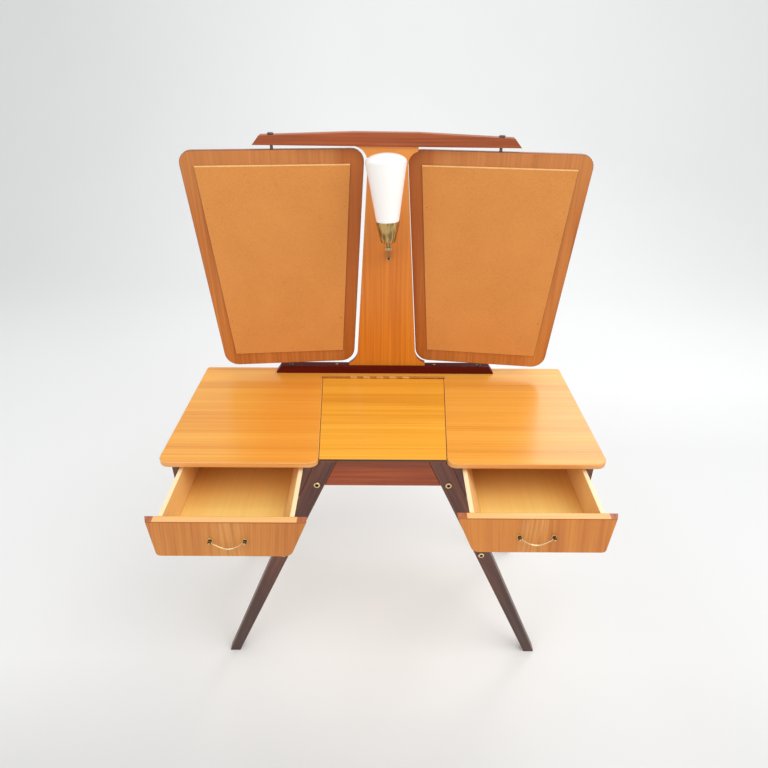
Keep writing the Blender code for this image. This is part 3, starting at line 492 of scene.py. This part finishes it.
def lathe(name, body, profile, mats, place, axis=(0, 0, 1), steps=48, ridges=0, depth=0.0,
          band=None):
    """A turned piece about axis through place, from points (radius, height[, material])."""
    bm = bmesh.new()
    rings = []
    for point in profile:
        ring = []
        for k in range(steps):
            turn = 2 * math.pi * k / steps
            radius = point[0]
            if ridges and band[0] <= point[1] <= band[1]:
                radius -= depth * (0.5 + 0.5 * math.cos(ridges * turn))
            ring.append(bm.verts.new((radius * math.cos(turn), radius * math.sin(turn), point[1])))
        rings.append(ring)
    for i, (low, high) in enumerate(zip(rings, rings[1:])):
        for k in range(steps):
            face = bm.faces.new((low[k], low[(k + 1) % steps], high[(k + 1) % steps], high[k]))
            face.material_index = profile[i + 1][2] if len(profile[i + 1]) > 2 else 0
    for ring, flip in ((rings[0], True), (rings[-1], False)):
        if profile[0 if flip else -1][0] > 1e-6:
            face = bm.faces.new(ring[::-1] if flip else ring)
            face.material_index = 0
    bmesh.ops.remove_doubles(bm, verts=bm.verts, dist=1e-7)
    spin = Vector((0, 0, 1)).rotation_difference(Vector(axis).normalized()).to_matrix().to_4x4()
    bm.transform(Matrix.Translation(place) @ spin)
    mesh = bpy.data.meshes.new(name)
    bm.to_mesh(mesh)
    bm.free()
    return smooth(add_piece(name, mesh, body, mats))


def tube(name, body, points, radii, mats, sides=16):
    """A smooth tapering wire along a polyline."""
    bm = bmesh.new()
    rings = []
    for i, (point, radius) in enumerate(zip(points, radii)):
        ahead = (Vector(points[min(i + 1, len(points) - 1)]) - Vector(points[max(i - 1, 0)])).normalized()
        first = ahead.cross(Vector((0, 1, 0))).normalized()
        second = ahead.cross(first)
        ring = []
        for k in range(sides):
            turn = 2 * math.pi * k / sides
            offset = radius * (first * math.cos(turn) + second * math.sin(turn))
            ring.append(bm.verts.new(Vector(point) + offset))
        rings.append(ring)
    for low, high in zip(rings, rings[1:]):
        for k in range(sides):
            bm.faces.new((low[k], low[(k + 1) % sides], high[(k + 1) % sides], high[k]))
    bm.faces.new(rings[0][::-1])
    bm.faces.new(rings[-1])
    bmesh.ops.recalc_face_normals(bm, faces=bm.faces)
    mesh = bpy.data.meshes.new(name)
    bm.to_mesh(mesh)
    bm.free()
    return smooth(add_piece(name, mesh, body, mats))


def middle(node):
    low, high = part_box(node)
    return (low + high) / 2


def paint(node, mat):
    NODES[node].data.materials.clear()
    NODES[node].data.materials.append(MATS[mat])


# ---- wooden pieces ------------------------------------------------------------------------------------
def upright(normal, _):
    return 0 if abs(normal.z) > 0.5 else 1


def build_wood():
    refined("tabletop", 0.0020, ("top", "top_edge", "seam"),
            lambda n, c: 2 if abs(n.z) < 0.5 and abs(c.x) < 0.18 and c.y > -0.08 else upright(n, c), 4)
    # The lid's front face carries the painted shade of its edge material.
    refined("lid", 0.0005, ("lid", "lid", "lid_front", "seam"),
            lambda n, c: 0 if abs(n.z) > 0.5 else (2 if n.y < -0.5 else 3))
    refined("front_apron", 0.0006, ("apron", "apron"))
    refined("rear_apron", 0.0006, ("apron", "apron"))
    refined("well_bottom", 0.0005, ("birch_x", "birch_edge"))
    refined("centre_board", 0.0008, ("board", "mirror_frame_edge"),
            lambda n, c: 0 if abs(n.y) > 0.5 else 1)
    refined("top_rail", 0.0010, ("top_rail", "top_rail"))
    refined("lower_rail", 0.0010, ("low_rail", "low_rail"))
    for label, _ in SIDES:
        for row in ("front", "rear"):
            refined(f"{row}_leg_{label}", 0.0016, (f"leg_{label}", "leg_edge"))
        refined(f"upper_side_rail_{label}", 0.0010, ("stretcher", "stretcher"))
        refined(f"lower_stretcher_{label}", 0.0014, ("stretcher", "stretcher"))
        refined(f"case_inner_side_{label}", 0.0008, ("case", "case"))
        refined(f"case_outer_side_{label}", 0.0010, ("case", "case"))
        refined(f"case_bottom_{label}", 0.0005, ("birch_y", "birch_edge"))
        refined(f"case_back_{label}", 0.0005, ("birch_x", "birch_edge"))
        refined(f"drawer_front_{label}", 0.0009, (f"front_{label}", f"front_{label}", f"lip_{label}"),
                lambda n, c: 2 if n.z > 0.5 else 0)
        for board, mat in (("inner_side", "birch_y"), ("outer_side", "birch_y"), ("back", "birch_x")):
            refined(f"drawer_{board}_{label}", 0.0008, (mat, "birch_edge", "birch_edge"),
                    lambda n, c: 2 if n.z > 0.5 else 0)
        refined(f"drawer_bottom_{label}", 0.0004, ("birch_floor", "birch_floor"))
        refined(f"mirror_board_{label}", 0.0012, ("mirror_frame", "mirror_frame_edge"),
                lambda n, c: 0 if abs(n.y) > 0.5 else 1)
        # Upward faces take the painted highlight, the side and lower faces painted shade.
        refined(f"mirror_backing_{label}", 0.0004, ("hardboard", "hardboard_edge_shade", "hardboard_top_highlight"),
                lambda n, c: 0 if abs(n.y) > 0.5 else (2 if n.z > 0.5 else 1))
        refined(f"mirror_glass_{label}", 0.0010, ("silver", "silver_edge"),
                lambda n, c: 0 if abs(n.y) > 0.5 else 1, 3)


# ---- metal and glass pieces ---------------------------------------------------------------------------
def build_bolts():
    """Round heads with a hollow round socket at the front; domed nuts on the rear legs."""
    for label, _ in SIDES:
        for row in ("upper", "lower"):
            node = f"{row}_bolt_{label}"
            low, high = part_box(node)
            centre = (low + high) / 2
            r = (high.x - low.x) / 2
            # The socket faces are painted black: painted shade in the hollow.
            head = lathe(node + "_head", "frame", [
                (0.0, -0.0024, 1), (0.0034, -0.0024, 1), (0.0038, -0.0006, 1), (0.0042, 0.0, 0),
                (r * 0.78, 0.0, 0), (r * 0.93, -0.0004, 0), (r, -0.0012, 0), (r, -0.0030, 0),
                (0.0030, -0.0030, 0), (0.0030, -0.050, 0), (0.0, -0.050, 0)][::-1],
                ("bright_brass", "pin_black_and_socket_shade"), (centre.x, low.y, centre.z), (0, -1, 0), 36)
            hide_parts(node)
            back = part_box(f"rear_leg_{label}")[1].y
            lathe(f"{row}_rear_nut_{label}", "frame", [
                (r, 0.0003), (r, 0.0012), (r * 0.92, 0.0022), (r * 0.60, 0.0031), (0.0, 0.0034)],
                ("brass",), (centre.x, back, centre.z), (0, 1, 0), 32)


def build_handles():
    """A bail of tapering wire that hangs between two small turned posts on each drawer front."""
    for label, _ in SIDES:
        low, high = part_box(f"bail_{label}")
        axis_y = (low.y + high.y) / 2
        top = high.z - 0.0017
        centre_x = (low.x + high.x) / 2
        half = (high.x - low.x) / 2 - 0.001
        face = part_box(f"drawer_front_{label}")[0].y
        points = [(centre_x - half - 0.0006, axis_y, top), (centre_x - half + 0.0052, axis_y, top)]
        radii = [0.0010, 0.0010]
        reach = half - 0.0072
        steps = 28
        for k in range(steps + 1):
            t = -1 + 2 * k / steps
            drop = 0.0035 + (top - low.z - 0.0017 - 0.0035) * math.cos(t * math.pi / 2)
            points.append((centre_x + reach * t, axis_y, top - drop))
            radii.append(0.0010 + 0.0009 * math.cos(t * math.pi / 2) ** 2)
        points += [(centre_x + half - 0.0052, axis_y, top), (centre_x + half + 0.0006, axis_y, top)]
        radii += [0.0010, 0.0010]
        bail = tube(f"bail_{label}_wire", f"bail_{label}", points, radii, ("bright_brass",))
        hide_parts(f"bail_{label}")
        for place in ("inner", "outer"):
            node = f"handle_post_{label}_{place}"
            x = middle(node).x
            # The foot's rim, the swell and the tip are bright brass: painted highlights on the dark posts.
            post = lathe(node + "_turned", f"drawer_{label}", [
                (0.0056, 0.0002, 0), (0.0057, 0.0010, 1), (0.0044, 0.0019, 1), (0.0026, 0.0030, 0),
                (0.0024, 0.0046, 0), (0.0032, 0.0058, 0), (0.0038, 0.0076, 1), (0.0036, 0.0094, 0),
                (0.0025, 0.0108, 0), (0.0, 0.0114, 1)],
                ("dark_brass", "brass"), (x, face, top), (0, -1, 0), 28)
            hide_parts(node)


def build_pivots():
    """Knurled knobs over the mirrors, and the pins and bushings under them."""
    for label, _ in SIDES:
        node = f"upper_pivot_{label}"
        low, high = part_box(node)
        centre = (low + high) / 2
        r = (high.x - low.x) / 2
        knob = lathe(node + "_knob", f"mirror_{label}", [
            (0.0, low.z), (0.0034, low.z), (0.0034, high.z - 0.0029), (r - 0.0005, high.z - 0.0029),
            (r, high.z - 0.0024), (r, high.z - 0.0006), (r - 0.0006, high.z), (0.0, high.z)],
            ("steel",), (centre.x, centre.y, 0), (0, 0, 1), 96, ridges=24, depth=0.0006,
            band=(high.z - 0.0025, high.z - 0.0005))
        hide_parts(node)
        paint(f"lower_pivot_{label}", "steel")
        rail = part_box("lower_rail")[1].z
        lathe(f"lower_bushing_{label}", "frame", [
            (0.0040, rail + 0.0001), (0.0066, rail + 0.0001), (0.0066, rail + 0.0009),
            (0.0060, rail + 0.0013), (0.0040, rail + 0.0013)],
            ("steel",), (centre.x, centre.y, 0), (0, 0, 1), 32)


TILT = [j for j in frame["joints"] if j["name"] == "lamp_tilt"][0]
PIVOT = Vector(TILT["pos_m"])
ACROSS = Vector(TILT["axis"]).normalized()
UP = Matrix.Rotation(LAMP_LEAN, 3, ACROSS) @ ACROSS.cross(Vector((0, 1, 0)))
HEAD = Matrix.Translation(PIVOT) @ Matrix((ACROSS, UP.cross(ACROSS), UP)).transposed().to_4x4()


def build_shade():
    """A cone of opal glass closed by a low dome, open at its foot inside the cup."""
    inner = [(0.0, 0.2085)]
    outer = []
    for k in range(1, 11):
        turn = math.pi / 2 * k / 10
        inner.append((0.0437 * math.sin(turn), 0.1920 + 0.0165 * math.cos(turn)))
    for k in range(10):
        turn = math.pi / 2 * (1 - k / 10)
        outer.append((0.0462 * math.sin(turn), 0.1920 + 0.0190 * math.cos(turn)))
    cone = [(0.0335, 0.1268), (0.0238, 0.0645), (0.0262, 0.0643), (0.0327, 0.1060), (0.0394, 0.1488)]
    profile = inner + cone + outer + [(0.0, 0.2110)]
    shade = lathe("shade_glass", "lamp_head", profile, ("opal",), PIVOT, UP, 72)
    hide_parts("lamp_shade")


def build_cheeks():
    """Two lugs under the cup, one on each side of the bracket, with the pin's domed ends."""
    for label, side in SIDES:
        bm = bmesh.new()
        outline = [(-0.0052, 0.0152), (0.0052, 0.0152)]
        outline += [(0.0052 * math.cos(math.pi * k / 14), -0.0052 * math.sin(math.pi * k / 14))
                    for k in range(15)]
        low_face = [bm.verts.new((side * 0.0051, y, z)) for y, z in outline]
        high_face = [bm.verts.new((side * 0.0063, y, z)) for y, z in outline]
        bm.faces.new(low_face)
        bm.faces.new(high_face[::-1])
        count = len(outline)
        for k in range(count):
            ahead = (k + 1) % count
            bm.faces.new((low_face[k], high_face[k], high_face[ahead], low_face[ahead]))
        bmesh.ops.recalc_face_normals(bm, faces=bm.faces)
        rims = [e for e in bm.edges if e.calc_face_angle(0.0) > 1.0]
        bmesh.ops.bevel(bm, geom=rims, offset=0.0003, segments=2, profile=0.5, affect="EDGES")
        bm.transform(HEAD)
        mesh = bpy.data.meshes.new(f"lamp_cheek_{label}")
        bm.to_mesh(mesh)
        bm.free()
        smooth(add_piece(f"lamp_cheek_{label}", mesh, "lamp_head", ("brass_arm",)))
        lathe(f"lamp_pin_cap_{label}", "lamp_head", [
            (0.0022, 0.0061), (0.0034, 0.0064), (0.0034, 0.0072), (0.0025, 0.0080), (0.0, 0.0083)],
            ("bright_brass",), PIVOT, side * ACROSS, 24)


def build_lamp():
    """The brass cup with its stem and pin, the shade in it, and the bracket with its screw."""
    build_shade()
    cup = lathe("cup_shell", "lamp_head", [
        (0.0, 0.0150, 0), (0.0128, 0.0150, 0), (0.0152, 0.0156, 0), (0.0168, 0.0174, 0),
        (0.0177, 0.0204, 0),
        (0.0187, 0.0242, 0), (0.0271, 0.0616, 0), (0.0275, 0.0632, 0), (0.0273, 0.0641, 0),
        (0.0266, 0.0643, 0), (0.0259, 0.0633, 1), (0.0174, 0.0242, 1), (0.0160, 0.0192, 1),
        (0.0128, 0.0162, 1), (0.0, 0.0162, 1)], ("brass_cup", "dark_brass"), PIVOT, UP, 64)
    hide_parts("lamp_cup")
    lathe("cup_stem", "lamp_head", [
        (0.0, 0.0066), (0.0036, 0.0066), (0.0040, 0.0074), (0.0040, 0.0138), (0.0052, 0.0149),
        (0.0, 0.0149)], ("brass_arm",), PIVOT, UP, 28)
    build_cheeks()
    lathe("lamp_pin", "lamp_head", [
        (0.0, -0.0062), (0.0019, -0.0062), (0.0019, 0.0062), (0.0, 0.0062)],
        ("brass_arm",), PIVOT, ACROSS, 20)
    paint("lamp_bulb", "opal")
    refined("lamp_bracket", 0.0007, ("brass_arm", "brass_arm"))
    low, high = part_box("lamp_bracket")
    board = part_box("centre_board")[0].y
    lathe("bracket_screw", "frame", [
        (0.0027, 0.0001), (0.0027, 0.0006), (0.0018, 0.0012), (0.0, 0.0014)], ("dark_brass",),
        (PIVOT.x + 0.0015, board - 0.0043, low.z + 0.0035), (0, -1, 0), 20)


def panel_face(node):
    """A hardboard's outward normal, and its corners: lower left and right, then upper left and right."""
    mesh = NODES[node].data
    normal = max(mesh.polygons, key=lambda p: p.area if p.normal.y < 0 else 0.0).normal.copy()
    reach = max(v.co.dot(normal) for v in mesh.vertices)
    front = [v.co.copy() for v in mesh.vertices if v.co.dot(normal) > reach - 1e-4]
    face = sorted(front, key=lambda c: c.z)
    return normal, sorted(face[:2], key=lambda c: c.x) + sorted(face[-2:], key=lambda c: c.x)


def build_panel_pins():
    """Small pins that hold the hardboard, near its edges."""
    for label, _ in SIDES:
        normal, (a, b, c, d) = panel_face(f"mirror_backing_{label}")
        for k, (u, v) in enumerate(PIN_SPOTS):
            place = (a.lerp(b, u)).lerp(c.lerp(d, u), v)
            radius = 0.0013 if k == 1 else 0.0008
            lathe(f"panel_pin_{label}_{k + 1}", f"mirror_{label}", [
                (radius, 0.0001), (radius - 0.0001, 0.0004), (0.0, 0.0005)],
                ("pin_black_and_socket_shade",), place, normal, 12)


def build_panel_rims():
    """Painted highlight: a thin pale strip along the hardboard's upper edge, where light from above
    catches it.
    """
    for label, _ in SIDES:
        normal, (a, b, c, d) = panel_face(f"mirror_backing_{label}")
        drop = (a - c).normalized() * 0.0030
        side = (d - c).normalized() * 0.0006
        corners = [c + side, d - side, d - side + drop, c + side + drop]
        bm = bmesh.new()
        near = [bm.verts.new(p + normal * 0.00035) for p in corners]
        far = [bm.verts.new(p + normal * 0.00005) for p in corners]
        bm.faces.new(near)
        bm.faces.new(far[::-1])
        for k in range(4):
            bm.faces.new((near[k], far[k], far[(k + 1) % 4], near[(k + 1) % 4]))
        bmesh.ops.recalc_face_normals(bm, faces=bm.faces)
        mesh = bpy.data.meshes.new(f"panel_top_highlight_{label}")
        bm.to_mesh(mesh)
        bm.free()
        add_piece(f"panel_top_highlight_{label}", mesh, f"mirror_{label}", ("hardboard_top_highlight",))


def build_small_hardware():
    """Screws on the lower rail, and the hinge's brass with its painted highlights."""
    rail_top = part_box("lower_rail")[1].z
    for label, side in SIDES:
        place = (RAIL_SCREWS_X + side * RAIL_SCREW_REACH, middle("lower_rail").y, 0)
        lathe(f"rail_screw_{label}", "frame", [
            (0.0036, rail_top + 0.0001), (0.0038, rail_top + 0.0006), (0.0022, rail_top + 0.0013),
            (0.0, rail_top + 0.0015)], ("brass",), place, (0, 0, 1), 24)
    for node in ("hinge_fixed_leaf", "hinge_moving_leaf"):
        paint(node, "hinge")


# ---- floor, light and camera --------------------------------------------------------------------------
def build_stage():
    """A pale floor that curves up into a back wall, darker in front, at the right and far left, all
    painted shade, and lighter around the table, a painted pool of light.
    """
    look = Look("studio_floor", 0.85)
    cloud = look.noise(look.mapped((0.9, 0.9, 0.9)), 2.0, 0.5)
    x = look.axis(0)
    y = look.axis(1)
    away = look.math("ADD", look.math("MULTIPLY", x, x), look.math("MULTIPLY", y, y))
    corner = look.math("MULTIPLY", look.span(x, -2.6, -0.4, 0.40, 0.0), look.span(y, 0.8, 2.8))
    value = look.span(cloud, 0.3, 0.7, 0.62, 0.68)
    near = look.math("MULTIPLY", look.span(y, -0.46, -0.14, -0.68, 0.0),
                     look.span(x, 0.10, 0.70, 1.0, 0.45))
    right = look.math("MULTIPLY", look.span(x, 0.35, 0.95, 0.0, -0.32, smooth=True),
                      look.span(y, 0.8, 1.3, 1.0, 0.0))
    # The last term is a painted pool of light around the table; near, right and corner are painted shade.
    for term in (near, right, look.span(away, 0.0, 0.24, 0.34, 0.0, smooth=True)):
        value = look.math("ADD", value, term)
    value = look.math("SUBTRACT", value, corner, True)
    look.colour(look.mix(value, (0.696, 0.700, 0.704), (0.914, 0.920, 0.922)))
    MATS["floor"] = look.mat
    profile = [(-6.0, 0.0), (2.4, 0.0)]
    for k in range(1, 17):
        turn = math.pi / 2 * k / 16
        profile.append((2.4 + 2.0 * math.sin(turn), 2.0 - 2.0 * math.cos(turn)))
    profile.append((4.4, 6.0))
    bm = bmesh.new()
    left = [bm.verts.new((-7.0, y, z)) for y, z in profile]
    right = [bm.verts.new((7.0, y, z)) for y, z in profile]
    for k in range(len(profile) - 1):
        bm.faces.new((left[k], right[k], right[k + 1], left[k + 1]))
    mesh = bpy.data.meshes.new("studio_sweep")
    bm.to_mesh(mesh)
    bm.free()
    mesh.materials.append(MATS["floor"])
    mesh.shade_smooth()
    sweep = bpy.data.objects.new("studio_sweep", mesh)
    bpy.context.scene.collection.objects.link(sweep)


def area_light(name, place, aim, size, power, colour=(1, 1, 1)):
    data = bpy.data.lights.new(name, "AREA")
    data.shape = "RECTANGLE"
    data.size, data.size_y = size
    data.energy = power
    data.color = colour
    obj = bpy.data.objects.new(name, data)
    obj.location = place
    obj.rotation_euler = (Vector(aim) - Vector(place)).to_track_quat("-Z", "Y").to_euler()
    bpy.context.scene.collection.objects.link(obj)


def build_light():
    """Soft light from above on all sides, and one low light that puts a sheen on the tabletop."""
    world = bpy.data.worlds.new("studio")
    world.use_nodes = True
    background = world.node_tree.nodes["Background"]
    background.inputs["Color"].default_value = (1.0, 1.0, 0.995, 1.0)
    background.inputs["Strength"].default_value = 0.80
    bpy.context.scene.world = world
    area_light("key", (1.7, -1.0, 3.1), (0.0, 0.0, 0.6), (2.4, 2.4), 42.0)
    area_light("fill", (-1.6, -2.4, 2.4), (0.0, 0.0, 0.7), (2.0, 2.0), 16.0)
    area_light("back", (0.0, 0.9, 3.2), (0.0, 3.8, 1.2), (3.0, 1.2), 22.0)
    area_light("sheen", (1.5, 2.4, 2.6), (0.42, 0.0, 0.7), (1.0, 0.9), 12.0)


def build_camera():
    """The photograph's view: about 1.55 m high, looking 32 degrees down, with a moderate wide lens."""
    yaw, pitch, roll = 0.0008, 0.55959, -0.00571
    data = bpy.data.cameras.new("camera")
    data.sensor_width = 36.0
    data.lens = 27.865
    data.clip_start = 0.05
    ahead = Vector((math.sin(yaw) * math.cos(pitch), math.cos(yaw) * math.cos(pitch), -math.sin(pitch)))
    across = Vector((math.cos(yaw), -math.sin(yaw), 0.0))
    down = ahead.cross(across)
    right = math.cos(roll) * across + math.sin(roll) * down
    below = -math.sin(roll) * across + math.cos(roll) * down
    obj = bpy.data.objects.new("camera", data)
    turn = Matrix((right, -below, -ahead)).transposed()
    obj.matrix_world = Matrix.Translation((0.0008, -1.1483, 1.5454)) @ turn.to_4x4()
    bpy.context.scene.collection.objects.link(obj)
    bpy.context.scene.camera = obj


build_wood()
build_bolts()
build_handles()
build_pivots()
build_lamp()
build_panel_pins()
build_panel_rims()
build_small_hardware()
build_stage()
build_light()
build_camera()
bpy.context.scene.view_settings.view_transform = "Standard"
